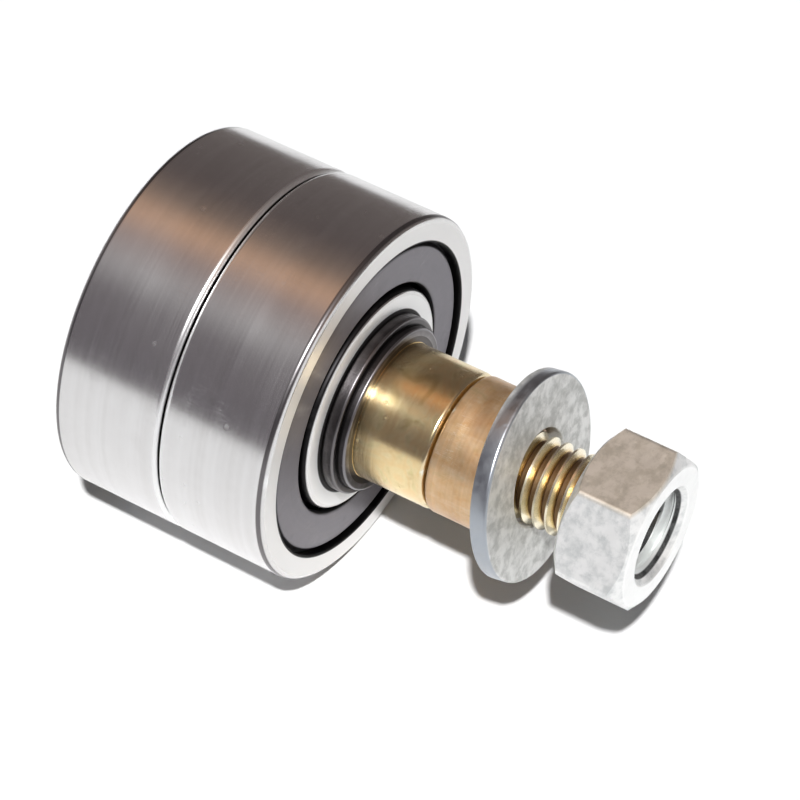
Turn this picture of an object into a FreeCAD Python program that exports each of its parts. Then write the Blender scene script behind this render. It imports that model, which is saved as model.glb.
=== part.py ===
import FreeCAD, Part
import math
import os

# Roller wheel: two ball bearings side by side on a headed stud, with a spacer sleeve, a washer and a nut.
# Sizes are in millimetres. Stations run along the axle from the plane between the two bearings,
# positive towards the nut, which lies on the -Y side. The axle is the Y axis and +Z is up.

# Ball bearings
bearing_bore_d = 15.0
bearing_outer_d = 35.0
bearing_width = 11.0
ball_d = 5.953
ball_count = 8
race_conformity = 1.04
race_clearance = 0.02
race_depth = 1.1
ring_corner_r = 0.6
bore_corner_r = 0.6
land_bevel = 0.6
ring_end_gap = 0.05

# Pressed shields, snapped into a groove of the outer ring
shield_sheet = 0.35
shield_recess = 0.4
shield_step = 0.55
shield_gap = 0.45
shield_rim = 0.45
shield_slope = 0.3
shield_lip = 0.4
shield_bite = 0.3
mouth_clearance = 0.2
mouth_bevel = 0.2

# Ribbon cages, two pressed halves riveted together
cage_sheet = 0.5
cage_ribbon = 2.0
cage_pocket_gap = 0.1
rivet_d = 0.8
rivet_head_d = 1.5
rivet_head_rise = 0.3
rivet_clearance = 0.02

# Axle: head, journal, shank and stud turned from one bar
head_overhang = 2.75
head_thickness = 3.0
head_bevel = 0.6
journal_setback = 0.1
driver_slot_width = 2.0
driver_slot_depth = 1.6
shank_d = 13.0
shank_length = 7.1
shank_bevel = 0.45
stud_d = 8.0
stud_length = 18.3
stud_bevel = 0.9
seat_gap = 0.01

# Collar on its seat beside the front bearing, sleeve on the stud
collar_bore_d = 14.2
collar_wall = 0.7
collar_length = 2.1
collar_flange_rise = 0.7
collar_flange_length = 1.3
collar_bevel = 0.2
sleeve_length = 5.0
sleeve_bevel = 0.35
sleeve_clearance = 0.15
sleeve_gap = 0.2

# Washer, loose on the stud and leaning on the front edge of the sleeve
washer_outer_d = 19.0
washer_thickness = 1.6
washer_clearance = 0.5
washer_edge_r = 0.25
washer_lean = 10.3
washer_lean_turn = 15.0
washer_gap = 0.1

# Nut, run onto the stud until the stud's end lies inside it
nut_across_flats = 13.7
nut_height = 6.9
nut_face_share = 0.95
nut_bevel_angle = 36.0
nut_corner_turn = 26.0
nut_clearance = 0.05
nut_sink = 0.7
stud_recess = 1.85

# Worked out from the sizes above
origin = FreeCAD.Vector(0, 0, 0)
axle_line = FreeCAD.Vector(0, 1, 0)
bearing_half = bearing_width / 2
ball_r = ball_d / 2
pitch_r = (bearing_bore_d + bearing_outer_d) / 4
groove_r = ball_r * race_conformity
inner_race_r = pitch_r - ball_r - race_clearance
outer_race_r = pitch_r + ball_r + race_clearance
inner_land_r = inner_race_r + race_depth
outer_land_r = outer_race_r - race_depth
pocket_r = ball_r + cage_pocket_gap
shield_edge_r = inner_land_r + shield_gap
shield_rim_r = outer_land_r + shield_rim
shield_grip_r = shield_rim_r + shield_bite + mouth_clearance
mouth_r = shield_grip_r - shield_bite
shield_plate_u = bearing_half - shield_recess
shield_rim_u = shield_plate_u - shield_step
journal_r = bearing_bore_d / 2 - seat_gap
collar_seat_r = collar_bore_d / 2 - seat_gap
head_r = bearing_bore_d / 2 + head_overhang
shank_r = shank_d / 2
stud_r = stud_d / 2
inner_rings_end = bearing_width
journal_end = inner_rings_end - journal_setback
collar_end = inner_rings_end + collar_length
shank_end = collar_end + shank_length
stud_end = shank_end + stud_length
sleeve_start = shank_end + sleeve_gap
sleeve_end = sleeve_start + sleeve_length
nut_end = stud_end + stud_recess
nut_start = nut_end - nut_height


def at(s, r):
    """Point of a turned section: station s along the axle, radius r."""
    return FreeCAD.Vector(0, -s, r)


def on_circle(s, r, degrees):
    """Point at station s on a circle of radius r, the angle taken from +Z towards +X."""
    angle = math.radians(degrees)
    return FreeCAD.Vector(r * math.sin(angle), -s, r * math.cos(angle))


def eased(before, here, after, finish, size):
    """Points that replace a corner: two for a bevel, three along the arc of a round."""
    back = (before - here).normalize()
    onward = (after - here).normalize()
    if finish == "bevel":
        return [here + back * size, here + onward * size]
    half_angle = back.getAngle(onward) / 2
    reach = size / math.tan(half_angle)
    inset = size / math.sin(half_angle) - size
    middle = (back + onward).normalize()
    return [here + back * reach, here + middle * inset, here + onward * reach]


def turned(*corners):
    """Solid of revolution about the axle. A corner is (s, r) or (s, r, "bevel" or "round", size)."""
    stops = []
    for i, corner in enumerate(corners):
        here = at(*corner[:2])
        if len(corner) == 2:
            stops.append([here])
            continue
        before = at(*corners[i - 1][:2])
        after = at(*corners[(i + 1) % len(corners)][:2])
        stops.append(eased(before, here, after, *corner[2:]))
    edges = []
    for i, stop in enumerate(stops):
        if len(stop) == 3:
            edges.append(Part.Arc(*stop).toShape())
        if len(stop) == 2:
            edges.append(Part.makeLine(*stop))
        edges.append(Part.makeLine(stop[-1], stops[(i + 1) % len(stops)][0]))
    solid = Part.Face(Part.Wire(edges)).revolve(origin, axle_line, 360)
    if solid.Volume < 0:
        solid.reverse()
    return solid


def ring(start, end, inner_r, outer_r):
    return turned((start, inner_r), (start, outer_r), (end, outer_r), (end, inner_r))


def raceway(mid, centre_r):
    """Torus that cuts the ball groove of a ring."""
    return Part.makeTorus(centre_r, groove_r, at(mid, 0), axle_line)


def outer_ring(mid):
    half = bearing_half - ring_end_gap
    seat = shield_rim_u - shield_sheet - seat_gap
    lip = shield_rim_u + seat_gap
    blank = turned(
        (mid - half, bearing_outer_d / 2, "round", ring_corner_r),
        (mid + half, bearing_outer_d / 2, "round", ring_corner_r),
        (mid + half, mouth_r, "bevel", mouth_bevel),
        (mid + lip, mouth_r),
        (mid + lip, shield_grip_r + seat_gap),
        (mid + seat, shield_grip_r + seat_gap),
        (mid + seat, outer_land_r),
        (mid - seat, outer_land_r),
        (mid - seat, shield_grip_r + seat_gap),
        (mid - lip, shield_grip_r + seat_gap),
        (mid - lip, mouth_r),
        (mid - half, mouth_r, "bevel", mouth_bevel),
    )
    return blank.cut(raceway(mid, outer_race_r - groove_r))


def inner_ring(mid):
    blank = turned(
        (mid - bearing_half, bearing_bore_d / 2, "round", bore_corner_r),
        (mid - bearing_half, inner_land_r, "bevel", land_bevel),
        (mid + bearing_half, inner_land_r, "bevel", land_bevel),
        (mid + bearing_half, bearing_bore_d / 2, "round", bore_corner_r),
    )
    return blank.cut(raceway(mid, inner_race_r + groove_r))


def shield(mid, side):
    """Stamped cover: a rim held in the ring's groove, a step up to the plate, and an edge turned inwards."""
    rim = mid + side * shield_rim_u
    rim_back = rim - side * shield_sheet
    plate = mid + side * shield_plate_u
    plate_back = plate - side * shield_sheet
    edge = plate_back - side * shield_lip
    return turned(
        (plate, shield_edge_r, "round", shield_sheet),
        (plate, shield_rim_r - shield_slope),
        (rim, shield_rim_r),
        (rim, shield_grip_r),
        (rim_back, shield_grip_r),
        (rim_back, shield_rim_r - shield_sheet / 2),
        (plate_back, shield_rim_r - shield_slope - shield_sheet / 2),
        (plate_back, shield_edge_r + shield_sheet),
        (edge, shield_edge_r + shield_sheet),
        (edge, shield_edge_r),
    )


def ball_angles():
    return [360 / ball_count * k for k in range(ball_count)]


def rivet_angles():
    return [angle + 180 / ball_count for angle in ball_angles()]


def ball_shape(radius, mid, angle):
    """Sphere about a ball's centre, its poles along the axle."""
    return Part.makeSphere(radius, on_circle(mid, pitch_r, angle), axle_line)


def balls(mid):
    return Part.makeCompound([ball_shape(ball_r, mid, angle) for angle in ball_angles()])


def cage_half(mid, side):
    """Half of a ribbon cage: flat webs between pockets pressed round the balls, with rivet holes."""
    inner_r = pitch_r - cage_ribbon / 2
    outer_r = pitch_r + cage_ribbon / 2
    half = ring(mid, mid + side * cage_sheet, inner_r, outer_r)
    space = ring(mid, mid + side * (pocket_r + 2 * cage_sheet), inner_r, outer_r)
    for angle in ball_angles():
        half = half.fuse(ball_shape(pocket_r + cage_sheet, mid, angle).common(space))
    for angle in ball_angles():
        half = half.cut(ball_shape(pocket_r, mid, angle))
    hole_r = rivet_d / 2 + rivet_clearance
    for angle in rivet_angles():
        foot = on_circle(mid + 2 * cage_sheet, pitch_r, angle)
        half = half.cut(Part.makeCylinder(hole_r, 4 * cage_sheet, foot, axle_line))
    return half


def rivet(mid, angle):
    """Shank through both webs with a low domed head at each end."""
    foot = on_circle(mid + cage_sheet, pitch_r, angle)
    shank = Part.makeCylinder(rivet_d / 2, 2 * cage_sheet, foot, axle_line)
    rim_r = rivet_head_d / 2
    dome_r = (rim_r ** 2 + rivet_head_rise ** 2) / (2 * rivet_head_rise)
    heads = []
    for side in (-1, 1):
        web_face = mid + side * cage_sheet
        centre = on_circle(web_face + side * (rivet_head_rise - dome_r), pitch_r, angle)
        outside = Part.makeCylinder(rim_r, dome_r, on_circle(web_face, pitch_r, angle), axle_line * -side)
        heads.append(Part.makeSphere(dome_r, centre).common(outside))
    return shank.fuse(heads)


def rivets(mid):
    return Part.makeCompound([rivet(mid, angle) for angle in rivet_angles()])


def axle():
    blank = turned(
        (-inner_rings_end - head_thickness, 0),
        (-inner_rings_end - head_thickness, head_r, "bevel", head_bevel),
        (-inner_rings_end, head_r),
        (-inner_rings_end, journal_r),
        (journal_end, journal_r),
        (journal_end, collar_seat_r),
        (collar_end, collar_seat_r),
        (collar_end, shank_r),
        (shank_end, shank_r, "bevel", shank_bevel),
        (shank_end, stud_r),
        (stud_end, stud_r, "bevel", stud_bevel),
        (stud_end, 0),
    )
    slot_floor = inner_rings_end + head_thickness - driver_slot_depth
    slot_corner = FreeCAD.Vector(-head_r, slot_floor, -driver_slot_width / 2)
    slot = Part.makeBox(2 * head_r, 2 * driver_slot_depth, driver_slot_width, slot_corner)
    return blank.cut(slot)


def retaining_collar():
    inner_r = collar_bore_d / 2
    hub_r = inner_r + collar_wall
    flange_r = hub_r + collar_flange_rise
    flange_end = inner_rings_end + collar_flange_length
    return turned(
        (inner_rings_end, inner_r),
        (inner_rings_end, flange_r, "bevel", collar_bevel),
        (flange_end, flange_r, "bevel", collar_bevel),
        (flange_end, hub_r),
        (collar_end, hub_r, "bevel", collar_bevel),
        (collar_end, inner_r),
    )


def spacer_sleeve():
    return turned(
        (sleeve_start, stud_r + sleeve_clearance),
        (sleeve_start, shank_r, "bevel", sleeve_bevel),
        (sleeve_end, shank_r, "bevel", sleeve_bevel),
        (sleeve_end, stud_r + sleeve_clearance, "bevel", sleeve_bevel),
    )


def flat_washer():
    """Washer that leans with its top against the front edge of the sleeve."""
    lean = math.radians(washer_lean)
    half = washer_thickness / 2
    touch_r = shank_r - sleeve_bevel
    middle = sleeve_end + washer_gap + half / math.cos(lean) + touch_r * math.tan(lean)
    washer = turned(
        (middle - half, stud_r + washer_clearance),
        (middle - half, washer_outer_d / 2, "round", washer_edge_r),
        (middle + half, washer_outer_d / 2, "round", washer_edge_r),
        (middle + half, stud_r + washer_clearance),
    )
    turn = math.radians(washer_lean_turn)
    washer.rotate(at(middle, 0), FreeCAD.Vector(-math.cos(turn), 0, math.sin(turn)), washer_lean)
    return washer


def hex_nut():
    corner_r = nut_across_flats / math.sqrt(3)
    corners = [on_circle(nut_start, corner_r, nut_corner_turn + 60 * k) for k in range(7)]
    prism = Part.Face(Part.makePolygon(corners)).extrude(FreeCAD.Vector(0, -nut_height, 0))
    face_r = nut_across_flats / 2 * nut_face_share
    slope = (corner_r - face_r) * math.tan(math.radians(nut_bevel_angle))
    envelope = turned(
        (nut_start, 0),
        (nut_start, face_r),
        (nut_start + slope, corner_r),
        (nut_end - slope, corner_r),
        (nut_end, face_r),
        (nut_end, 0),
    )
    hole_r = stud_r + nut_clearance
    hole = turned(
        (nut_start, 0),
        (nut_start, hole_r + nut_sink),
        (nut_start + nut_sink, hole_r),
        (nut_end - nut_sink, hole_r),
        (nut_end, hole_r + nut_sink),
        (nut_end, 0),
    )
    return prism.common(envelope).cut(hole)


def bearing(name, mid, outward):
    """Sub-parts of one bearing, the outward side being the one away from its twin."""
    return {
        name + "_outer_ring": outer_ring(mid),
        name + "_inner_ring": inner_ring(mid),
        name + "_outer_shield": shield(mid, outward),
        name + "_inner_shield": shield(mid, -outward),
        name + "_balls": balls(mid),
        name + "_cage_outer_half": cage_half(mid, outward),
        name + "_cage_inner_half": cage_half(mid, -outward),
        name + "_cage_rivets": rivets(mid),
    }


pieces = {
    "axle": axle(),
    "retaining_collar": retaining_collar(),
    "spacer_sleeve": spacer_sleeve(),
    "flat_washer": flat_washer(),
    "hex_nut": hex_nut(),
}
pieces.update(bearing("front", bearing_half, 1))
pieces.update(bearing("rear", -bearing_half, -1))

os.makedirs("parts", exist_ok=True)
for node, shape in pieces.items():
    shape.exportStep("parts/" + node + ".step")
    print(node, len(shape.Solids), "solids", round(shape.Volume, 1), "mm3")
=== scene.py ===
import bpy
import bmesh
import math
from mathutils import Matrix, Vector


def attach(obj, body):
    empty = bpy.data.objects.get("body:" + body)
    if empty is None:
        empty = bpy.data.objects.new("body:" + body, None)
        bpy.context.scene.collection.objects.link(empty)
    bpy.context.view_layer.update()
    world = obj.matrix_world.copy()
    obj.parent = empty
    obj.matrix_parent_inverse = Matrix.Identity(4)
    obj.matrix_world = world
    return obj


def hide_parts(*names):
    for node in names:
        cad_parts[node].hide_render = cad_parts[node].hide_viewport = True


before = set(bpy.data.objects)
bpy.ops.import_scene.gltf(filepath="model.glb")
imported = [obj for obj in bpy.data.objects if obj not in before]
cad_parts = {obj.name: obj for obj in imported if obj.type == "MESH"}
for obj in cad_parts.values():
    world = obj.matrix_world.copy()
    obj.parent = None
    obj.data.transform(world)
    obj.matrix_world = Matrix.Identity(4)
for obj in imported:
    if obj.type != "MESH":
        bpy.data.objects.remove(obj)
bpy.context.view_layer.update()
mm = 0.001
scene = bpy.context.scene
print("frame loaded,", len(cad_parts), "nodes")

# Sizes below are in millimetres.
# A station is a place along the axle, from the middle of the roller towards the nut.


def spot(station, radius):
    return Vector((0, -station * mm, radius * mm))


# Outlines and turning

turnSet = {
    "steps": 192, "raceSteps": 16, "softSegments": 4, "same": 0.0001, "merge": 0.0002, "sliver": 0.0001,
}


def drawOutline(bm, corners, groove):
    # a corner is (station, radius), with its softening as a third value
    # with the station and radius of the ball circle instead, a raceway starts there
    line, soft = [], {}
    for corner in corners:
        start = bm.verts.new(spot(*corner[:2]))
        line.append(start)
        if len(corner) == 3:
            soft.setdefault(corner[2], []).append(start)
        if len(corner) == 4:
            known = set(bm.verts)
            sweep = 2 * math.asin(abs(corner[0] - corner[2]) / groove)
            bmesh.ops.spin(bm, geom=[start], cent=spot(*corner[2:]), axis=(1, 0, 0), angle=-sweep,
                           steps=turnSet["raceSteps"])
            line += [v for v in bm.verts if v not in known]
    bm.faces.new(line)
    for width, verts in soft.items():
        bmesh.ops.bevel(bm, geom=verts, offset=width * mm, offset_type="OFFSET", affect="VERTICES",
                        segments=turnSet["softSegments"], profile=0.5, material=-1)
    bmesh.ops.delete(bm, geom=bm.faces[:], context="FACES_ONLY")


def turnOutline(bm, steps):
    onAxis = [e for e in bm.edges if all(v.co.xz.length < turnSet["same"] * mm for v in e.verts)]
    bmesh.ops.delete(bm, geom=onAxis, context="EDGES")
    bmesh.ops.spin(bm, geom=bm.verts[:] + bm.edges[:], cent=(0, 0, 0), axis=(0, 1, 0),
                   angle=2 * math.pi, steps=steps, use_merge=True)
    closeUp(bm)


def closeUp(bm):
    bmesh.ops.remove_doubles(bm, verts=bm.verts[:], dist=turnSet["merge"] * mm)
    bmesh.ops.dissolve_degenerate(bm, edges=bm.edges[:], dist=turnSet["sliver"] * mm)
    bmesh.ops.recalc_face_normals(bm, faces=bm.faces[:])


def turned(corners, steps=turnSet["steps"], groove=None):
    bm = bmesh.new()
    drawOutline(bm, corners, groove)
    turnOutline(bm, steps)
    return bm


def asObject(bm, name):
    mesh = bpy.data.meshes.new(name)
    bm.to_mesh(mesh)
    bm.free()
    made = bpy.data.objects.new(name, mesh)
    scene.collection.objects.link(made)
    return made


def finishPiece(bm, name, body, node, material, sharpAngle=32):
    piece = asObject(bm, name)
    mesh = piece.data
    mesh.shade_smooth()
    mesh.set_sharp_from_angle(angle=math.radians(sharpAngle))
    mesh.materials.append(material)
    normals = piece.modifiers.new("flatFaces", "WEIGHTED_NORMAL")
    normals.weight = 100
    normals.keep_sharp = True
    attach(piece, body)
    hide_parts(node)
    print("piece", name, len(mesh.polygons), "faces")


def carve(bm, tools):
    # tools are (operation, bmesh) pairs, used one after the other
    blank = asObject(bm, "blank")
    cutters = []
    for operation, tool in tools:
        cutters.append(asObject(tool, "cutter"))
        step = blank.modifiers.new("carve", "BOOLEAN")
        step.operation = operation
        step.solver = "EXACT"
        step.object = cutters[-1]
    bpy.context.view_layer.update()
    carved = blank.evaluated_get(bpy.context.evaluated_depsgraph_get())
    shaped = bpy.data.meshes.new_from_object(carved)
    made = bmesh.new()
    made.from_mesh(shaped)
    for spare in [blank] + cutters:
        bpy.data.meshes.remove(spare.data)
    bpy.data.meshes.remove(shaped)
    closeUp(made)
    return made


# Shader helpers

def feed(tree, value, socket):
    # links another node's output, or sets a plain value
    if isinstance(value, bpy.types.NodeSocket):
        tree.links.new(value, socket)
    else:
        socket.default_value = value


def addNode(tree, kind, inputs=None, **settings):
    made = tree.nodes.new(kind)
    for name, value in settings.items():
        setattr(made, name, value)
    for socket, value in (inputs or {}).items():
        feed(tree, value, made.inputs[socket])
    return made


def calc(tree, operation, first, second=0.0, clamp=False):
    made = addNode(tree, "ShaderNodeMath", {0: first, 1: second}, operation=operation, use_clamp=clamp)
    return made.outputs[0]


def times(tree, first, second):
    return calc(tree, "MULTIPLY", first, second)


def blendColour(tree, factor, first, second, mode="MIX"):
    inputs = {0: factor, 6: first, 7: second}  # sockets of the node's colour version
    return addNode(tree, "ShaderNodeMix", inputs, data_type="RGBA", blend_type=mode).outputs[2]


def spread(tree, value, low, high, outLow=0.0, outHigh=1.0):
    made = addNode(tree, "ShaderNodeMapRange", {0: value, 1: low, 2: high, 3: outLow, 4: outHigh})
    return made.outputs[0]


def ownPlace(tree):
    return addNode(tree, "ShaderNodeTexCoord").outputs["Object"]


def roundAxle(tree):
    # how far a point of the surface is from the axle line, and its coordinates
    xyz = addNode(tree, "ShaderNodeSeparateXYZ", {0: ownPlace(tree)}).outputs
    flat = addNode(tree, "ShaderNodeCombineXYZ", {0: xyz[0], 1: xyz[2]}).outputs[0]
    radius = addNode(tree, "ShaderNodeVectorMath", {0: flat}, operation="LENGTH").outputs["Value"]
    return radius, xyz


def noise(tree, place, scale, detail=2.0, roughness=0.5, distortion=0.0):
    made = addNode(tree, "ShaderNodeTexNoise", {
        "Vector": place, "Scale": scale, "Detail": detail, "Roughness": roughness, "Distortion": distortion,
    })
    return made.outputs[0]


def colourRamp(tree, factor, shades):
    ramp = addNode(tree, "ShaderNodeValToRGB", {0: factor})
    stops = ramp.color_ramp.elements
    while len(stops) < len(shades):
        stops.new(0.5)
    for stop, (where, shade) in zip(stops, shades):
        stop.position = where
        stop.color = shade
    return ramp.outputs[0]


def newGroup(name, inputs, outputs):
    group = bpy.data.node_groups.new(name, "ShaderNodeTree")
    for label, value in inputs.items():
        made = group.interface.new_socket(label, in_out="INPUT", socket_type="NodeSocketFloat")
        made.default_value = value
    for label in outputs:
        group.interface.new_socket(label, in_out="OUTPUT", socket_type="NodeSocketFloat")
    given = group.nodes.new("NodeGroupInput").outputs
    result = group.nodes.new("NodeGroupOutput").inputs
    return group, given, result


def useGroup(tree, group, **inputs):
    return addNode(tree, "ShaderNodeGroup", inputs, node_tree=group).outputs


# Surface effects shared by the finishes. Their inputs are in metres, as Object coordinates are.

noiseSpan = (0.3, 0.7)  # most of a noise texture's values lie between these


def toolLineGroup():
    # fine rings left by turning and grinding, all round the axle
    group, given, result = newGroup("toolLines", {"Spacing": 0.0001, "Wander": 60.0}, ["Lines"])
    radius, xyz = roundAxle(group)
    rate = calc(group, "DIVIDE", 1.0, given["Spacing"])
    across = addNode(group, "ShaderNodeCombineXYZ", {
        0: times(group, radius, rate),
        1: times(group, xyz[1], rate),
        2: times(group, xyz[0], given["Wander"]),
    }).outputs[0]
    rings = noise(group, across, 0.5, roughness=0.6)
    group.links.new(spread(group, rings, *noiseSpan), result["Lines"])
    return group


stainSet = {
    "noise": (6.0, 0.62, 0.2),  # detail, roughness and distortion
    "startBare": 0.78, "startDrop": 0.56, "soft": 0.3,
}


def stainGroup():
    # soft patches from handling and from the plating bath, more of them as Cover grows
    group, given, result = newGroup("stains", {"Size": 0.006, "Cover": 0.5}, ["Mask"])
    rate = calc(group, "DIVIDE", 1.0, given["Size"])
    cloud = noise(group, ownPlace(group), rate, *stainSet["noise"])
    low = calc(group, "SUBTRACT", stainSet["startBare"], times(group, given["Cover"], stainSet["startDrop"]))
    high = calc(group, "ADD", low, stainSet["soft"])
    patch = addNode(group, "ShaderNodeMapRange", {0: cloud, 1: low, 2: high}, interpolation_type="SMOOTHSTEP")
    group.links.new(patch.outputs[0], result["Mask"])
    return group


nickSet = {
    "bowl": (0.05, 0.32), "hairRate": 4.0, "hairWidth": 0.012, "patchRate": 0.35, "patchSpan": (0.5, 0.68),
    "hairs": [(0.5, (1.0, 0.05, 0.4)), (-0.8, (0.04, 1.0, 0.3)), (1.9, (0.5, 0.04, 1.0))],  # turn and stretch
}


def nickGroup():
    # small dents and hairline scratches from use
    group, given, result = newGroup("nicks", {"Size": 0.001, "Share": 0.2}, ["Dents", "Scratches"])
    place = ownPlace(group)
    rate = calc(group, "DIVIDE", 1.0, given["Size"])
    inputs = {"Vector": place, "Scale": rate, "Randomness": 1.0}
    cells = addNode(group, "ShaderNodeTexVoronoi", inputs).outputs
    draw = addNode(group, "ShaderNodeSeparateColor", {0: cells["Color"]}).outputs[0]
    chosen = calc(group, "LESS_THAN", draw, given["Share"])
    bowl = spread(group, cells["Distance"], *nickSet["bowl"], 1.0, 0.0)
    group.links.new(times(group, bowl, chosen), result["Dents"])
    streaks = None
    for turn, stretch in nickSet["hairs"]:
        bent = addNode(group, "ShaderNodeMapping", {
            "Vector": place, "Rotation": (turn, turn * 0.7, turn * 1.3), "Scale": stretch,
        }).outputs[0]
        hair = noise(group, bent, times(group, rate, nickSet["hairRate"]), detail=1.0)
        offMiddle = calc(group, "ABSOLUTE", calc(group, "SUBTRACT", hair, 0.5))
        thin = spread(group, offMiddle, 0.0, nickSet["hairWidth"], 1.0, 0.0)
        streaks = thin if streaks is None else calc(group, "MAXIMUM", streaks, thin)
    handled = noise(group, place, times(group, rate, nickSet["patchRate"]))
    shown = spread(group, handled, *nickSet["patchSpan"])
    group.links.new(times(group, streaks, shown), result["Scratches"])
    return group


wearSet = {"scale": 900.0, "detail": 4.0, "roughness": 0.6, "patchy": (0.3, 1.3), "gain": 14.0}


def edgeWearGroup():
    # bright metal where edges are rubbed, broken up so that it is never an even line
    group, given, result = newGroup("edgeWear", {"Edge": 0.5, "Amount": 0.5}, ["Mask"])
    grain = noise(group, ownPlace(group), wearSet["scale"], wearSet["detail"], wearSet["roughness"])
    raised = calc(group, "SUBTRACT", given["Edge"], 0.5)  # Pointiness is 0.5 on a flat face
    patchy = times(group, raised, spread(group, grain, *noiseSpan, *wearSet["patchy"]))
    worn = calc(group, "MULTIPLY", times(group, patchy, wearSet["gain"]), given["Amount"], clamp=True)
    group.links.new(worn, result["Mask"])
    return group


def zoneGroup():
    # a band of the surface between two distances from the axle line and two stations
    # BothSides is 1 where the rear of the roller has the band too, and 0 where only the front has it
    inputs = {"RadiusFrom": 0.0, "RadiusTo": 1.0, "StationFrom": 0.0, "StationTo": 1.0}
    inputs.update({"Soft": 0.0001, "BothSides": 1.0})
    group, given, result = newGroup("zone", inputs, ["Mask"])
    radius, xyz = roundAxle(group)
    mirrored = times(group, xyz[1], given["BothSides"])
    station = calc(group, "MAXIMUM", times(group, xyz[1], -1.0), mirrored)
    mask = None
    for what, value in (("Radius", radius), ("Station", station)):
        rise = calc(group, "DIVIDE", calc(group, "SUBTRACT", value, given[what + "From"]), given["Soft"])
        fall = calc(group, "DIVIDE", calc(group, "SUBTRACT", given[what + "To"], value), given["Soft"])
        inside = calc(group, "ADD", calc(group, "MINIMUM", rise, fall), 0.5, clamp=True)
        mask = inside if mask is None else times(group, mask, inside)
    group.links.new(mask, result["Mask"])
    return group


toolLines = toolLineGroup()
stains = stainGroup()
nicks = nickGroup()
edgeWear = edgeWearGroup()
zone = zoneGroup()
print("surface effects ready")


# Metal finishes

# how much of an effect shows in every finish
effectSet = {
    "hairShade": 0.3, "hairDepth": 0.25, "dentDull": 0.1, "zoneStain": 0.86,
    "shadeStain": 0.8, "shadeEdge": 0.3,
}


def metal(name, finish):
    material = bpy.data.materials.new(name)
    material.use_nodes = True
    tree = material.node_tree
    shader = tree.nodes["Principled BSDF"].inputs
    shader["Anisotropic"].default_value = finish["anisotropy"]
    wander = finish["lineWander"]
    lines = useGroup(tree, toolLines, Spacing=finish["lineSpacing"] * mm, Wander=wander)["Lines"]
    patches = useGroup(tree, stains, Size=finish["stainSize"] * mm, Cover=finish["stainCover"])["Mask"]
    marks = useGroup(tree, nicks, Size=finish["nickSize"] * mm, Share=finish["nickShare"])
    edge = addNode(tree, "ShaderNodeNewGeometry").outputs["Pointiness"]
    worn = useGroup(tree, edgeWear, Edge=edge, Amount=finish["wear"])["Mask"]
    colour = blendColour(tree, patches, finish["colour"], finish["stain"])
    if "bath" in finish:
        drift = noise(tree, ownPlace(tree), 1 / (finish["bathSize"] * mm), detail=3.0, distortion=1.2)
        hues = colourRamp(tree, drift, finish["bath"])
        colour = blendColour(tree, finish["bathMix"], colour, hues, "MULTIPLY")
    dull = times(tree, calc(tree, "SUBTRACT", 1.0, lines), finish["lineShade"])
    colour = blendColour(tree, dull, colour, finish["stain"])
    if "bandSpacing" in finish:
        bands = useGroup(tree, toolLines, Spacing=finish["bandSpacing"] * mm, Wander=wander)["Lines"]
        colour = blendColour(tree, times(tree, bands, finish["bandShade"]), colour, finish["stain"])
    colour = blendColour(tree, worn, colour, finish["bare"])
    scratched = times(tree, marks["Scratches"], effectSet["hairShade"])
    colour = blendColour(tree, scratched, colour, finish["bare"])
    busy = times(tree, calc(tree, "ADD", patches, lines), 0.5)  # the mean of the two
    even = spread(tree, busy, 0.0, 1.0, *finish["rough"])
    rough = calc(tree, "ADD", even, times(tree, marks["Dents"], effectSet["dentDull"]))
    metallic = finish.get("metallic", 1.0)
    # a zone is (radii, stations, soft edge, colour, added roughness), then a metallic value if it differs
    for radii, stations, soft, shade, duller, *plated in finish["zones"]:
        band = useGroup(tree, zone, RadiusFrom=radii[0] * mm, RadiusTo=radii[1] * mm,
                        StationFrom=stations[0] * mm, StationTo=stations[1] * mm, Soft=soft * mm,
                        BothSides=finish.get("bothSides", 1.0))["Mask"]
        uneven = times(tree, band, spread(tree, patches, 0.0, 1.0, 1.0, effectSet["zoneStain"]))
        colour = blendColour(tree, uneven, colour, shade)
        rough = calc(tree, "ADD", rough, times(tree, uneven, duller))
        if plated:
            metallic = spread(tree, uneven, 0.0, 1.0, metallic, plated[0])
    # painted shade: the flat facing one given direction is tinted darker and warmer
    if "paintedShade" in finish:
        inputs = {0: ownPlace(tree), 1: finish["paintedShadeToward"]}
        reach = addNode(tree, "ShaderNodeVectorMath", inputs, operation="DOT_PRODUCT").outputs["Value"]
        start = finish["paintedShadeFrom"]
        shadeMask = spread(tree, reach, start * mm, (start + effectSet["shadeEdge"]) * mm)
        shadeMask = times(tree, shadeMask, spread(tree, patches, 0.0, 1.0, effectSet["shadeStain"], 1.0))
        colour = blendColour(tree, shadeMask, colour, finish["paintedShade"], "MULTIPLY")
    grooves = times(tree, lines, finish["lineDepth"])
    dents = times(tree, marks["Dents"], finish["nickDepth"])
    hairs = times(tree, marks["Scratches"], finish["nickDepth"] * effectSet["hairDepth"])
    height = calc(tree, "SUBTRACT", grooves, calc(tree, "ADD", dents, hairs))
    bump = addNode(tree, "ShaderNodeBump", {"Height": height, "Distance": mm, "Strength": 1.0})
    feed(tree, colour, shader["Base Color"])
    feed(tree, rough, shader["Roughness"])
    feed(tree, metallic, shader["Metallic"])
    feed(tree, bump.outputs[0], shader["Normal"])
    print("finish", name)
    return material


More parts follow.
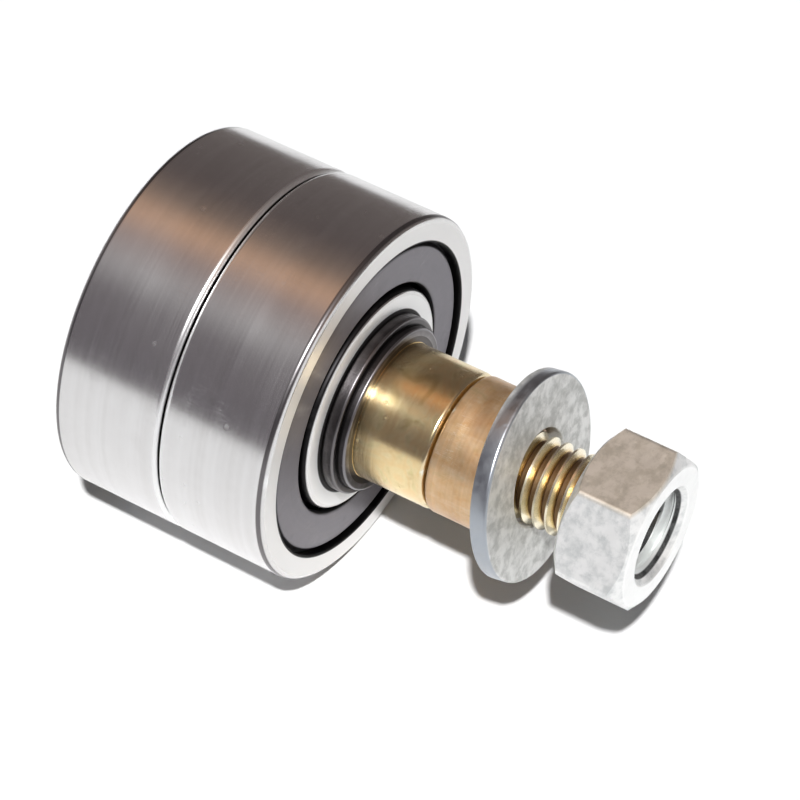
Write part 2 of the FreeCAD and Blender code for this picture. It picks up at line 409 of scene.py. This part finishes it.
bearingFinish = {
    "colour": (0.71, 0.7, 0.7, 1), "stain": (0.56, 0.545, 0.535, 1), "bare": (0.84, 0.84, 0.84, 1),
    "rough": (0.19, 0.31), "anisotropy": 0.3, "lineSpacing": 0.05, "lineWander": 90.0, "lineDepth": 0.0006,
    "lineShade": 0.12, "stainSize": 7.0, "stainCover": 0.35, "nickSize": 1.1, "nickShare": 0.06,
    "nickDepth": 0.006, "wear": 0.5, "bandSpacing": 0.45, "bandShade": 0.4,
    "zones": [
        ((7.0, 17.0), (10.9, 11.1), 0.04, (0.82, 0.815, 0.81, 1), 0.24, 0.55),  # end faces, ground coarser
        ((8.7, 10.1), (10.9, 11.1), 0.06, (0.9, 0.9, 0.9, 1), 0.0),  # those of the inner rings are brighter
        ((16.9, 17.6), (10.33, 10.74), 0.1, (0.17, 0.16, 0.164, 1), 0.1),  # painted shade: a dark line on the rims' corners in place of their dark reflection
        ((16.0, 17.6), (0.0, 0.14), 0.12, (0.03, 0.028, 0.028, 1), 0.2),  # painted shade in the gap between the two rims
        ((14.0, 15.28), (0.0, 11.0), 0.08, (0.02, 0.019, 0.02, 1), 0.2),  # painted shade at the shields' outer edges
        ((10.42, 12.0), (0.0, 10.9), 0.08, (0.02, 0.019, 0.02, 1), 0.2),  # painted shade at their inner edges
        ((7.0, 8.85), (10.9, 11.1), 0.1, (0.03, 0.028, 0.028, 1), 0.2),  # painted shade round the collar
        ((16.85, 17.46), (0.12, 0.62), 0.06, (0.86, 0.86, 0.86, 1), 0.12),  # painted highlight on the rounded edges at the seam, which are also rougher
    ],
}
shieldFinish = {
    "colour": (0.205, 0.195, 0.216, 1), "stain": (0.15, 0.143, 0.16, 1), "bare": (0.38, 0.37, 0.39, 1),
    "rough": (0.45, 0.57), "anisotropy": 0.2, "metallic": 0.65, "lineSpacing": 0.16, "lineWander": 200.0,
    "lineDepth": 0.0005, "lineShade": 0.1, "stainSize": 3.5, "stainCover": 0.4, "nickSize": 1.4,
    "nickShare": 0.05, "nickDepth": 0.006, "wear": 0.3,
    "zones": [
        ((14.55, 16.0), (0.0, 11.0), 0.1, (0.015, 0.014, 0.015, 1), 0.1),  # painted shade along both edges
        ((10.0, 11.18), (0.0, 11.0), 0.08, (0.015, 0.014, 0.015, 1), 0.1),
    ],
}
cageFinish = dict(
    shieldFinish, colour=(0.5, 0.49, 0.48, 1), stain=(0.4, 0.38, 0.36, 1), rough=(0.3, 0.42), metallic=1.0,
    zones=[],
)
collarFinish = {
    "colour": (0.07, 0.064, 0.066, 1), "stain": (0.035, 0.032, 0.032, 1), "bare": (0.3, 0.28, 0.28, 1),
    "rough": (0.3, 0.44), "anisotropy": 0.3, "lineSpacing": 0.09, "lineWander": 120.0, "lineDepth": 0.001,
    "lineShade": 0.2, "stainSize": 2.2, "stainCover": 0.45, "nickSize": 0.9, "nickShare": 0.08,
    "nickDepth": 0.008, "wear": 0.5,
    "zones": [
        ((8.33, 9.0), (12.1, 12.4), 0.06, (0.17, 0.16, 0.165, 1), 0.0),  # painted highlight on the front corners
        ((7.63, 7.9), (12.9, 13.2), 0.06, (0.22, 0.21, 0.22, 1), 0.0),
        ((7.0, 7.95), (12.2, 12.5), 0.1, (0.012, 0.011, 0.011, 1), 0.2),  # painted shade in the step
        ((8.2, 9.0), (10.9, 11.3), 0.1, (0.012, 0.011, 0.011, 1), 0.2),  # painted shade against the bearing
    ],
}
goldBath = [
    (0.32, (0.66, 0.6, 0.4, 1)), (0.43, (1, 1, 0.96, 1)), (0.52, (1, 0.84, 0.68, 1)), (0.6, (1, 1, 1, 1)),
    (0.7, (0.72, 0.78, 0.6, 1)),
]
axleFinish = {
    "colour": (0.86, 0.71, 0.42, 1), "stain": (0.56, 0.4, 0.18, 1), "bare": (0.9, 0.85, 0.7, 1),
    "rough": (0.2, 0.32), "anisotropy": 0.3, "lineSpacing": 0.11, "lineWander": 130.0, "lineDepth": 0.0012,
    "lineShade": 0.25, "stainSize": 3.0, "stainCover": 0.42, "nickSize": 0.9, "nickShare": 0.07,
    "nickDepth": 0.008, "wear": 0.6, "bath": goldBath, "bathSize": 3.0, "bathMix": 0.55, "bothSides": 0.0,
    "zones": [
        ((0.0, 3.32), (20.0, 38.3), 0.14, (0.2, 0.125, 0.065, 1), 0.2),  # painted shade in the thread's roots
        ((3.5, 4.2), (25.0, 37.6), 0.3, (0.98, 0.9, 0.7, 1), 0.0),  # painted highlight on the thread's crests
        ((6.53, 7.2), (12.9, 13.3), 0.04, (0.06, 0.05, 0.045, 1), 0.1),  # painted shade against the collar
        ((0.0, 4.0), (37.6, 39.0), 0.1, (0.008, 0.008, 0.008, 1), 0.4),  # painted shadow on the stud's end, deep in the nut
    ],
}
sleeveFinish = dict(
    axleFinish, colour=(0.66, 0.41, 0.185, 1), stain=(0.42, 0.22, 0.085, 1), rough=(0.34, 0.48),
    metallic=0.65, lineSpacing=0.17, lineShade=0.5, bandSpacing=0.7, bandShade=0.55, bathSize=2.2,
    bathMix=0.5, zones=[],
)
washerFinish = {
    "colour": (0.76, 0.76, 0.745, 1), "stain": (0.42, 0.425, 0.41, 1), "bare": (0.8, 0.8, 0.79, 1),
    "rough": (0.42, 0.58), "anisotropy": 0.0, "metallic": 0.4, "lineSpacing": 0.3, "lineWander": 900.0,
    "lineDepth": 0.0008, "lineShade": 0.15, "stainSize": 1.4, "stainCover": 0.74, "nickSize": 0.8,
    "nickShare": 0.1, "nickDepth": 0.01, "wear": 0.5,
    "zones": [((9.3, 10.0), (24.0, 31.0), 0.08, (0.4, 0.43, 0.47, 1), -0.15, 1.0)],  # the bright punched rim
}
nutFinish = dict(
    washerFinish, colour=(0.92, 0.92, 0.91, 1), stain=(0.54, 0.56, 0.56, 1), bare=(0.9, 0.9, 0.89, 1),
    rough=(0.4, 0.55), metallic=0.68, lineSpacing=0.4, stainSize=1.2, stainCover=0.72,
    paintedShade=(0.86, 0.76, 0.64, 1), paintedShadeToward=(-0.07, 0.0, 0.9976), paintedShadeFrom=6.5,  # painted shade, darker and warmer, on the upper flat
    zones=[
        ((0.0, 4.3), (33.0, 39.6), 0.3, (0.8, 0.82, 0.81, 1), 0.0),  # the cut thread
        ((3.9, 4.34), (39.25, 39.85), 0.08, (0.03, 0.03, 0.03, 1), 0.1),  # painted shade at its mouth
        ((4.4, 8.0), (40.25, 41.0), 0.1, (0.98, 0.98, 0.97, 1), -0.12),  # the faced end
    ],
)

bearingSteel = metal("bearingSteel", bearingFinish)
shieldSteel = metal("shieldSteel", shieldFinish)
cageSteel = metal("cageSteel", cageFinish)
darkSteel = metal("darkSteel", collarFinish)
yellowZinc = metal("yellowZinc", axleFinish)
sleeveZinc = metal("sleeveZinc", sleeveFinish)
washerZinc = metal("washerZinc", washerFinish)
nutZinc = metal("nutZinc", nutFinish)


# Ball bearings

bearingSet = {
    "half": 5.5, "endGap": 0.05, "treadR": 17.5, "corner": 0.6, "mouthR": 15.047, "mouthSoft": 0.2,
    "gripR": 15.357, "lip": 4.56, "seat": 4.19, "outerLandR": 14.397, "outerBallR": 12.401,
    "boreR": 7.5, "boreCorner": 0.6, "innerLandR": 10.603, "landSoft": 0.6, "innerBallR": 12.599,
    "grooveR": 3.096, "grooveHalf": 2.3665, "steps": 256,
}


def outerRing(mid):
    size = bearingSet
    half = size["half"] - size["endGap"]
    mouthR, gripR, landR = size["mouthR"], size["gripR"], size["outerLandR"]
    lip, seat = size["lip"], size["seat"]
    corners = [
        (mid - half, size["treadR"], size["corner"]), (mid + half, size["treadR"], size["corner"]),
        (mid + half, mouthR, size["mouthSoft"]), (mid + lip, mouthR), (mid + lip, gripR),
        (mid + seat, gripR), (mid + seat, landR),
        (mid + size["grooveHalf"], landR, mid, size["outerBallR"]),
        (mid - seat, landR), (mid - seat, gripR),
        (mid - lip, gripR), (mid - lip, mouthR), (mid - half, mouthR, size["mouthSoft"]),
    ]
    return turned(corners, size["steps"], size["grooveR"])


def innerRing(mid):
    size = bearingSet
    half, boreR, landR = size["half"], size["boreR"], size["innerLandR"]
    corners = [
        (mid - half, boreR, size["boreCorner"]), (mid - half, landR, size["landSoft"]),
        (mid - size["grooveHalf"], landR, mid, size["innerBallR"]),
        (mid + half, landR, size["landSoft"]), (mid + half, boreR, size["boreCorner"]),
    ]
    return turned(corners, size["steps"], size["grooveR"])


shieldSet = {
    "plate": 5.1, "step": 0.55, "sheet": 0.35, "edgeR": 11.053, "plateR": 14.547, "rimR": 14.847,
    "gripR": 15.347, "lip": 0.4, "edgeSoft": 0.3, "plateSoft": 0.2, "rimSoft": 0.12, "steps": 224,
}


def shield(mid, side):
    size = shieldSet
    sheet, edgeR, gripR = size["sheet"], size["edgeR"], size["gripR"]
    plate = mid + side * size["plate"]
    back = plate - side * sheet
    rim = plate - side * size["step"]
    rimBack = rim - side * sheet
    lip = back - side * size["lip"]
    corners = [
        (plate, edgeR, size["edgeSoft"]), (plate, size["plateR"], size["plateSoft"]),
        (rim, size["rimR"], size["rimSoft"]), (rim, gripR), (rimBack, gripR),
        (rimBack, size["rimR"] - sheet / 2), (back, size["plateR"] - sheet / 2),
        (back, edgeR + sheet), (lip, edgeR + sheet), (lip, edgeR),
    ]
    return turned(corners, size["steps"])


for label, outward in (("front", 1), ("rear", -1)):
    mid = outward * bearingSet["half"]
    roller = label + "_roller"
    finishPiece(outerRing(mid), label + "RingOuter", roller, label + "_outer_ring",
                bearingSteel)
    finishPiece(innerRing(mid), label + "RingInner", "axle", label + "_inner_ring",
                bearingSteel)
    finishPiece(shield(mid, outward), label + "ShieldOuter", roller, label + "_outer_shield",
                shieldSteel)
    finishPiece(shield(mid, -outward), label + "ShieldInner", roller, label + "_inner_shield",
                shieldSteel)
    insides = {"balls": bearingSteel, "cage_outer_half": cageSteel, "cage_inner_half": cageSteel,
               "cage_rivets": cageSteel}
    for inside, material in insides.items():
        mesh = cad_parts[label + "_" + inside].data
        mesh.materials.clear()
        mesh.materials.append(material)


# Collar and sleeve

collarSet = {
    "start": 11.0, "step": 12.3, "end": 13.1, "boreR": 7.1, "hubR": 7.8, "flangeR": 8.5, "soft": 0.2,
}


def collar():
    size = collarSet
    start, step, end, soft = size["start"], size["step"], size["end"], size["soft"]
    return turned([
        (start, size["boreR"]), (start, size["flangeR"], soft), (step, size["flangeR"], soft),
        (step, size["hubR"]), (end, size["hubR"], soft), (end, size["boreR"]),
    ])


finishPiece(collar(), "collarTurned", "axle", "retaining_collar", darkSteel)

sleeveSet = {"start": 20.4, "end": 25.4, "boreR": 4.15, "outerR": 6.5, "soft": 0.35}


def sleeve():
    size = sleeveSet
    start, end, soft = size["start"], size["end"], size["soft"]
    return turned([
        (start, size["boreR"]), (start, size["outerR"], soft),
        (end, size["outerR"], soft), (end, size["boreR"], soft),
    ])


finishPiece(sleeve(), "sleeveTurned", "axle", "spacer_sleeve", sleeveZinc)


# Threads

threadSet = {
    "pitch": 1.25, "crestShare": 0.16, "rootShare": 0.24, "steps": 96, "spareTurns": 2,
    "merge": 0.0005, "cut": 0.0001, "onRim": 0.002,
}


def threadSkin(start, end, crestR, rootR):
    # a zigzag line turned once while it moves on by one pitch, then cut square at both ends
    bm = bmesh.new()
    pitch, steps = threadSet["pitch"], threadSet["steps"]
    crest, root = threadSet["crestShare"] * pitch, threadSet["rootShare"] * pitch
    flank = (pitch - crest - root) / 2
    zigzag = ((0, rootR), (root, rootR), (root + flank, crestR), (root + flank + crest, crestR))
    first = math.floor(start / pitch) - threadSet["spareTurns"]
    last = math.ceil(end / pitch) + threadSet["spareTurns"]
    line = []
    for turn in range(first, last):
        for shift, radius in zigzag:
            line.append(bm.verts.new(spot(turn * pitch + shift, radius)))
    for here, after in zip(line, line[1:]):
        bm.edges.new((here, after))
    bmesh.ops.spin(bm, geom=bm.verts[:] + bm.edges[:], cent=(0, 0, 0), axis=(0, -1, 0),
                   dvec=(0, -pitch * mm / steps, 0), angle=2 * math.pi, steps=steps)
    bmesh.ops.remove_doubles(bm, verts=bm.verts[:], dist=threadSet["merge"] * mm)
    for station, outward in ((start, 1), (end, -1)):
        bmesh.ops.bisect_plane(bm, geom=bm.verts[:] + bm.edges[:] + bm.faces[:], plane_co=spot(station, 0),
                               plane_no=(0, outward, 0), dist=threadSet["cut"] * mm, clear_outer=True)
    return bm


def rimEdges(bm, station):
    near = threadSet["onRim"] * mm
    return [e for e in bm.edges if e.is_boundary and all(abs(v.co.y + station * mm) < near for v in e.verts)]


# Axle with its head, shank and threaded stud

axleSet = {
    "headEnd": -14.0, "headR": 10.25, "headSoft": 0.6, "headStart": -11.0, "journalR": 7.49,
    "journalEnd": 10.9, "seatR": 7.09, "seatEnd": 13.1, "shankR": 6.5, "shankEnd": 20.2, "shankSoft": 0.45,
    "neckR": 4.3, "crestR": 3.96, "rootR": 3.2, "studEnd": 38.5, "studBevel": 0.9,
    "slotWidth": 2.0, "slotDepth": 1.6,
}


def axle():
    size = axleSet
    headEnd, headStart, journalEnd = size["headEnd"], size["headStart"], size["journalEnd"]
    seatEnd, shankEnd, studEnd = size["seatEnd"], size["shankEnd"], size["studEnd"]
    bm = bmesh.new()
    corners = [
        (headEnd, 0), (headEnd, size["headR"], size["headSoft"]), (headStart, size["headR"]),
        (headStart, size["journalR"]), (journalEnd, size["journalR"]), (journalEnd, size["seatR"]),
        (seatEnd, size["seatR"]), (seatEnd, size["shankR"]),
        (shankEnd, size["shankR"], size["shankSoft"]), (shankEnd, size["neckR"]), (studEnd, 0),
    ]
    drawOutline(bm, corners, None)
    atEnd = turnSet["same"] * mm
    neck = [e for e in bm.edges if any(abs(v.co.y + studEnd * mm) < atEnd for v in e.verts)]
    bmesh.ops.delete(bm, geom=neck, context="EDGES")
    turnOutline(bm, turnSet["steps"])
    stud = threadSkin(shankEnd, studEnd, size["crestR"], size["rootR"])
    for v in stud.verts:  # the lead-in cone at the stud's end
        most = (size["crestR"] - size["studBevel"] + studEnd) * mm + v.co.y
        reach = v.co.xz.length
        if reach > most:
            v.co.x *= most / reach
            v.co.z *= most / reach
    bmesh.ops.edgeloop_fill(stud, edges=rimEdges(stud, studEnd))
    spare = bpy.data.meshes.new("stud")
    stud.to_mesh(spare)
    stud.free()
    bm.from_mesh(spare)
    bpy.data.meshes.remove(spare)
    bmesh.ops.triangle_fill(bm, use_beauty=True, use_dissolve=False, edges=rimEdges(bm, shankEnd),
                            normal=(0, -1, 0))  # the flat ring between shank and thread
    closeUp(bm)
    slot = bmesh.new()
    bmesh.ops.create_cube(slot, size=1.0)
    # longer than the head is wide, so that it runs out at both ends
    slotSize = Vector((3 * size["headR"], 2 * size["slotDepth"], size["slotWidth"])) * mm
    bmesh.ops.scale(slot, vec=slotSize, verts=slot.verts[:])
    bmesh.ops.translate(slot, vec=spot(headEnd, 0), verts=slot.verts[:])
    return carve(bm, [("DIFFERENCE", slot)])


finishPiece(axle(), "axleThreaded", "axle", "axle", yellowZinc)


# Washer

washerSet = {
    "middle": 27.431, "thickness": 1.6, "holeR": 4.5, "outerR": 9.5, "rolled": 0.3, "burr": 0.12,
    "holeSoft": 0.14, "lean": 10.3, "leanTurn": 15.0,
}


def washer():
    size = washerSet
    near, far = -size["thickness"] / 2, size["thickness"] / 2
    bm = turned([
        (near, size["holeR"], size["holeSoft"]), (near, size["outerR"], size["burr"]),
        (far, size["outerR"], size["rolled"]), (far, size["holeR"], size["holeSoft"]),
    ])
    turn = math.radians(size["leanTurn"])
    tilt = Matrix.Rotation(math.radians(size["lean"]), 3, Vector((-math.cos(turn), 0, math.sin(turn))))
    bmesh.ops.rotate(bm, cent=(0, 0, 0), matrix=tilt, verts=bm.verts[:])
    bmesh.ops.translate(bm, vec=spot(size["middle"], 0), verts=bm.verts[:])
    return bm


finishPiece(washer(), "washerPunched", "washer", "flat_washer", washerZinc)


# Nut

nutSet = {
    "start": 33.45, "end": 40.35, "flats": 13.7, "cornerTurn": 26.0, "edgeSoft": 0.28, "edgeSegments": 3,
    "faceR": 6.5075, "faceAngle": 36.0, "boreR": 3.38, "sinkR": 4.75, "crestR": 4.1, "clear": 0.6,
}


def hexBar(start, end, cornerR):
    bm = bmesh.new()
    bmesh.ops.create_circle(bm, cap_ends=True, segments=6, radius=cornerR * mm)
    upright = Matrix.Rotation(math.radians(90), 3, "X")
    bmesh.ops.rotate(bm, cent=(0, 0, 0), matrix=upright, verts=bm.verts[:])
    corner = bm.verts[:][0].co
    standing = math.degrees(math.atan2(corner.x, corner.z))
    turn = Matrix.Rotation(math.radians(nutSet["cornerTurn"] - standing), 3, "Y")
    bmesh.ops.rotate(bm, cent=(0, 0, 0), matrix=turn, verts=bm.verts[:])
    bmesh.ops.translate(bm, vec=spot(start, 0), verts=bm.verts[:])
    grown = bmesh.ops.extrude_face_region(bm, geom=bm.faces[:])["geom"]
    bmesh.ops.translate(bm, vec=spot(end, 0) - spot(start, 0),
                        verts=[v for v in grown if isinstance(v, bmesh.types.BMVert)])
    bmesh.ops.recalc_face_normals(bm, faces=bm.faces[:])
    lengthwise = [e for e in bm.edges if abs(e.verts[0].co.y - e.verts[1].co.y) > mm]
    bmesh.ops.bevel(bm, geom=lengthwise, offset=nutSet["edgeSoft"] * mm, offset_type="OFFSET", affect="EDGES",
                    segments=nutSet["edgeSegments"], profile=0.5, material=-1)
    return bm


def nut():
    size = nutSet
    start, end, faceR, sinkR, boreR = size["start"], size["end"], size["faceR"], size["sinkR"], size["boreR"]
    cornerR = size["flats"] / math.sqrt(3)
    rise = (cornerR - faceR) * math.tan(math.radians(size["faceAngle"]))
    sink = sinkR - boreR
    bar = hexBar(start, end, cornerR)
    envelope = turned([
        (start, sinkR), (start, faceR), (start + rise, cornerR), (end - rise, cornerR),
        (end, faceR), (end, sinkR), (end - sink, boreR), (start + sink, boreR),
    ])
    tapStart, tapEnd = start - size["clear"], end + size["clear"]
    tap = threadSkin(tapStart, tapEnd, size["crestR"], boreR)
    for station in (tapStart, tapEnd):
        bmesh.ops.edgeloop_fill(tap, edges=rimEdges(tap, station))
    closeUp(tap)
    return carve(bar, [("INTERSECT", envelope), ("DIFFERENCE", tap)])


finishPiece(nut(), "nutThreaded", "nut", "hex_nut", nutZinc, sharpAngle=28)


# Floor

floorSet = {
    "height": -17.5, "half": 1500.0, "colour": (0.96, 0.96, 0.96, 1), "shade": (0.93, 0.93, 0.93, 1),
    "grainScale": 300.0, "grainMix": 0.3,
}


def emptyMaterial(name):
    material = bpy.data.materials.new(name)
    material.use_nodes = True
    material.node_tree.nodes.clear()
    return material, material.node_tree


def paper():
    material, tree = emptyMaterial("paper")
    grain = noise(tree, ownPlace(tree), floorSet["grainScale"], detail=3.0)
    mix = spread(tree, grain, *noiseSpan, 0.0, floorSet["grainMix"])
    tone = blendColour(tree, mix, floorSet["colour"], floorSet["shade"])
    sheet = addNode(tree, "ShaderNodeBsdfDiffuse", {"Color": tone})
    addNode(tree, "ShaderNodeOutputMaterial", {"Surface": sheet.outputs[0]})
    return material


def floorSheet():
    bm = bmesh.new()
    bmesh.ops.create_grid(bm, x_segments=1, y_segments=1, size=floorSet["half"] * mm)
    bmesh.ops.translate(bm, vec=(0, 0, floorSet["height"] * mm), verts=bm.verts[:])
    return bm


floor = asObject(floorSheet(), "floor")
floor.data.materials.append(paper())


# The room, seen only in the polished metal
# It has the table beyond the paper's edge, and a drape with a warm lamp strip.

drapeSet = {
    "radius": 700.0, "half": 1400.0, "steps": 48, "paperEdge": 105.0, "tableRise": 0.2,
    "shades": [
        (0.0, (0.165, 0.143, 0.137, 1)), (0.28, (0.11, 0.09, 0.088, 1)), (0.38, (0.22, 0.165, 0.137, 1)),
        (0.465, (0.68, 0.42, 0.275, 1)), (0.55, (0.35, 0.275, 0.26, 1)), (0.65, (0.4, 0.385, 0.39, 1)),
        (0.74, (0.18, 0.163, 0.174, 1)), (1.0, (0.165, 0.15, 0.165, 1)),
    ],
}


def drapeShape():
    size = drapeSet
    ground = floorSet["height"] * mm
    bm = bmesh.new()
    hem = [bm.verts.new((size["radius"] * mm, side * size["half"] * mm, ground)) for side in (-1, 1)]
    foot = bm.edges.new(hem)
    bmesh.ops.spin(bm, geom=bm.verts[:] + bm.edges[:], cent=(0, 0, ground), axis=(0, -1, 0),
                   angle=math.pi, steps=size["steps"])
    table = bmesh.ops.extrude_edge_only(bm, edges=[foot])["geom"]
    inward = Vector((size["paperEdge"] - size["radius"], 0, size["tableRise"])) * mm
    bmesh.ops.translate(bm, vec=inward, verts=[v for v in table if isinstance(v, bmesh.types.BMVert)])
    return bm


def drapeCloth():
    material, tree = emptyMaterial("drapeCloth")
    xyz = addNode(tree, "ShaderNodeSeparateXYZ", {0: ownPlace(tree)}).outputs
    around = calc(tree, "DIVIDE", calc(tree, "ARCTAN2", xyz[2], xyz[0]), math.pi)
    shades = colourRamp(tree, around, drapeSet["shades"])
    lamp = addNode(tree, "ShaderNodeEmission", {"Color": shades, "Strength": 1.0})
    addNode(tree, "ShaderNodeOutputMaterial", {"Surface": lamp.outputs[0]})
    return material


drape = asObject(drapeShape(), "drape")
drape.data.materials.append(drapeCloth())
drape.visible_camera = False
drape.visible_diffuse = False
drape.visible_shadow = False
drape.visible_transmission = False


# Camera and light

def sightAxes(azimuth, elevation):
    turn, lift = math.radians(azimuth), math.radians(elevation)
    right = Vector((math.cos(turn), math.sin(turn), 0))
    back = Vector((math.sin(turn) * math.cos(lift), -math.cos(turn) * math.cos(lift), math.sin(lift)))
    return right, back.cross(right), back


def aim(thing, back):
    thing.rotation_mode = "QUATERNION"
    thing.rotation_quaternion = (-back).to_track_quat("-Z", "Y")
    scene.collection.objects.link(thing)


cameraSet = {
    "azimuth": -57.8, "elevation": 47.89, "right": 11.78, "up": -4.29, "away": 306.46, "focal": 153.95,
    "nearest": 10.0,
}
right, up, back = sightAxes(cameraSet["azimuth"], cameraSet["elevation"])
camera = bpy.data.objects.new("camera", bpy.data.cameras.new("camera"))
camera.data.lens = cameraSet["focal"]
camera.data.clip_start = cameraSet["nearest"] * mm
camera.location = (right * cameraSet["right"] + up * cameraSet["up"] + back * cameraSet["away"]) * mm
aim(camera, back)
scene.camera = camera

keySet = {"azimuth": -59.5, "elevation": 59.5, "strength": 3.68, "softness": 2.2}
sun = bpy.data.objects.new("keyLight", bpy.data.lights.new("keyLight", "SUN"))
sun.data.energy = keySet["strength"]
sun.data.angle = math.radians(keySet["softness"])
aim(sun, sightAxes(keySet["azimuth"], keySet["elevation"])[2])

worldSet = {"white": (1, 1, 1, 1), "ambient": (0.05, 0.055, 0.062, 1)}


def studio():
    world = bpy.data.worlds.new("studio")
    world.use_nodes = True
    tree = world.node_tree
    path = addNode(tree, "ShaderNodeLightPath").outputs
    through = calc(tree, "MAXIMUM", path["Is Glossy Ray"], path["Is Transmission Ray"])
    seen = calc(tree, "MAXIMUM", path["Is Camera Ray"], through)
    sky = blendColour(tree, seen, worldSet["ambient"], worldSet["white"])
    feed(tree, sky, tree.nodes["Background"].inputs["Color"])
    return world


scene.world = studio()
scene.view_settings.view_transform = "Standard"
print("floor, camera and light ready")
